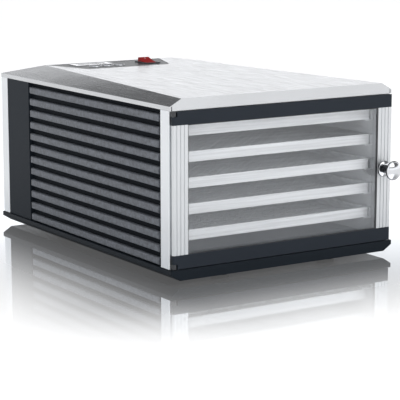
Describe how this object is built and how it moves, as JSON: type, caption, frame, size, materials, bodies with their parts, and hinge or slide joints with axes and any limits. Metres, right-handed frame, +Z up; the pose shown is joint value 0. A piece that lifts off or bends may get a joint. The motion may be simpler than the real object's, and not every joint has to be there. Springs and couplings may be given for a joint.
{
  "type": "food dehydrator",
  "caption": "Cabinet food dehydrator: brushed steel cover, dark louvred sides, smoked glass door with a round knob, sliding drying racks, rear fan and heater, top console.",
  "frame": {"origin": "centre of the bounding box, at the level that the rubber feet stand on", "axes": "+X to the right seen from the front, +Y from the door to the rear cover, +Z up"},
  "size_m": [0.348, 0.4926, 0.2379],
  "materials": {
    "cover_steel": "brushed",
    "post_aluminium": "satin",
    "stile_aluminium": "satin",
    "panel_black": "textured",
    "base_black": "semi-gloss",
    "rear_black": "satin",
    "console_black": "semi-gloss",
    "display_glass": "gloss",
    "board_green": "satin",
    "switch_red": "gloss",
    "button_grey": "satin",
    "liner_white": "satin",
    "tray_white": "satin",
    "tray_metal": "brushed",
    "heater_steel": "matte",
    "motor_steel": "satin",
    "fan_plastic": "satin",
    "sensor_aluminium": "satin",
    "sensor_brass": "satin",
    "inlet_plastic": "satin",
    "foot_rubber": "matte",
    "rail_dark": "semi-gloss",
    "smoked_glass": "gloss",
    "trim_chrome": "polished",
    "hinge_metal": "satin",
    "pin_steel": "satin",
    "screw_steel": "satin",
    "magnet_case": "satin"
  },
  "bodies": {
    "cabinet": {"base_pan": "base_black", "rubber_feet": "foot_rubber", "post_front_left": "post_aluminium", "post_front_right": "post_aluminium", "post_rear_left": "post_aluminium", "post_rear_right": "post_aluminium", "side_panel_left": "panel_black", "side_panel_right": "panel_black", "rear_cover": "rear_black", "rear_cover_screws": "screw_steel", "top_cover_screws": "screw_steel", "top_cover": "cover_steel", "console": "console_black", "control_board": "board_green", "display_bezel": "trim_chrome", "display_window": "display_glass", "switch_frame": "console_black", "chamber_wall_left": "liner_white", "chamber_wall_right": "liner_white", "chamber_floor": "liner_white", "chamber_ceiling": "liner_white", "air_baffle": "liner_white", "fan_shroud": "liner_white", "heater_element": "heater_steel", "heater_clips": "heater_steel", "fan_motor": "motor_steel", "motor_bracket": "motor_steel", "thermal_cutout": "sensor_aluminium", "temperature_probe": "sensor_brass", "power_inlet": "inlet_plastic", "inlet_pins": "sensor_brass", "hinge_brackets": "hinge_metal", "hinge_pins": "pin_steel", "door_magnet": "magnet_case"},
    "door": {"door_bottom_rail": "rail_dark", "door_top_rail": "rail_dark", "door_stile_left": "stile_aluminium", "door_stile_right": "stile_aluminium", "door_pane": "smoked_glass", "knob_rosette": "trim_chrome", "knob": "trim_chrome", "door_strike": "pin_steel"},
    "fan": {"fan_shaft": "pin_steel", "fan_impeller": "fan_plastic"},
    "rocker": {"rocker": "switch_red"},
    "button_minus": {"button_minus": "button_grey"},
    "button_plus": {"button_plus": "button_grey"},
    "button_start": {"button_start": "button_grey"},
    "tray_1": {"tray_1": "tray_white", "tray_grid_1": "tray_white"},
    "tray_2": {"tray_2": "tray_white", "tray_grid_2": "tray_white"},
    "tray_3": {"tray_3": "tray_white", "tray_grid_3": "tray_white"},
    "tray_4": {"tray_4": "tray_white", "tray_grid_4": "tray_white"},
    "tray_5": {"tray_5": "tray_white", "tray_grid_5": "tray_white"},
    "crumb_tray": {"crumb_tray": "tray_metal"}
  },
  "joints": [
    {"name": "door_hinge", "type": "hinge", "parent": "cabinet", "child": "door", "pos_m": [-0.1675, -0.21875, 0.117], "axis": [0, 0, -1], "range_deg": [0, 170]},
    {"name": "tray_5_slide", "type": "slide", "parent": "cabinet", "child": "tray_5", "axis": [0, -1, 0], "range_m": [0, 0.10701]},
    {"name": "tray_4_slide", "type": "slide", "parent": "cabinet", "child": "tray_4", "axis": [0, -1, 0], "range_m": [0, 0.08921]},
    {"name": "tray_3_slide", "type": "slide", "parent": "cabinet", "child": "tray_3", "axis": [0, -1, 0], "range_m": [0, 0.07141]},
    {"name": "tray_2_slide", "type": "slide", "parent": "cabinet", "child": "tray_2", "axis": [0, -1, 0], "range_m": [0, 0.05361]},
    {"name": "tray_1_slide", "type": "slide", "parent": "cabinet", "child": "tray_1", "axis": [0, -1, 0], "range_m": [0, 0.0358]},
    {"name": "crumb_tray_slide", "type": "slide", "parent": "cabinet", "child": "crumb_tray", "axis": [0, -1, 0], "range_m": [0, 0.018]},
    {"name": "fan_spin", "type": "hinge", "parent": "cabinet", "child": "fan", "pos_m": [0, 0.19425, 0.113], "axis": [0, 1, 0], "continuous": true},
    {"name": "rocker_tilt", "type": "hinge", "parent": "cabinet", "child": "rocker", "pos_m": [0.0395, 0.18675, 0.2291], "axis": [-1, 0, 0], "range_deg": [0, 14]},
    {"name": "button_minus_press", "type": "slide", "parent": "cabinet", "child": "button_minus", "axis": [0, 0, -1], "range_m": [0, 0.001], "stiffness_N_per_m": 300, "springref_m": -0.0008},
    {"name": "button_plus_press", "type": "slide", "parent": "cabinet", "child": "button_plus", "axis": [0, 0, -1], "range_m": [0, 0.001], "stiffness_N_per_m": 300, "springref_m": -0.0008},
    {"name": "button_start_press", "type": "slide", "parent": "cabinet", "child": "button_start", "axis": [0, 0, -1], "range_m": [0, 0.001], "stiffness_N_per_m": 300, "springref_m": -0.0008}
  ],
  "couplings": [
    {"joint": "tray_5_slide", "follows": "door_hinge", "m_per_rad": 0.036},
    {"joint": "tray_4_slide", "follows": "door_hinge", "m_per_rad": 0.03},
    {"joint": "tray_3_slide", "follows": "door_hinge", "m_per_rad": 0.024},
    {"joint": "tray_2_slide", "follows": "door_hinge", "m_per_rad": 0.018},
    {"joint": "tray_1_slide", "follows": "door_hinge", "m_per_rad": 0.012},
    {"joint": "crumb_tray_slide", "follows": "door_hinge", "m_per_rad": 0.006}
  ]
}
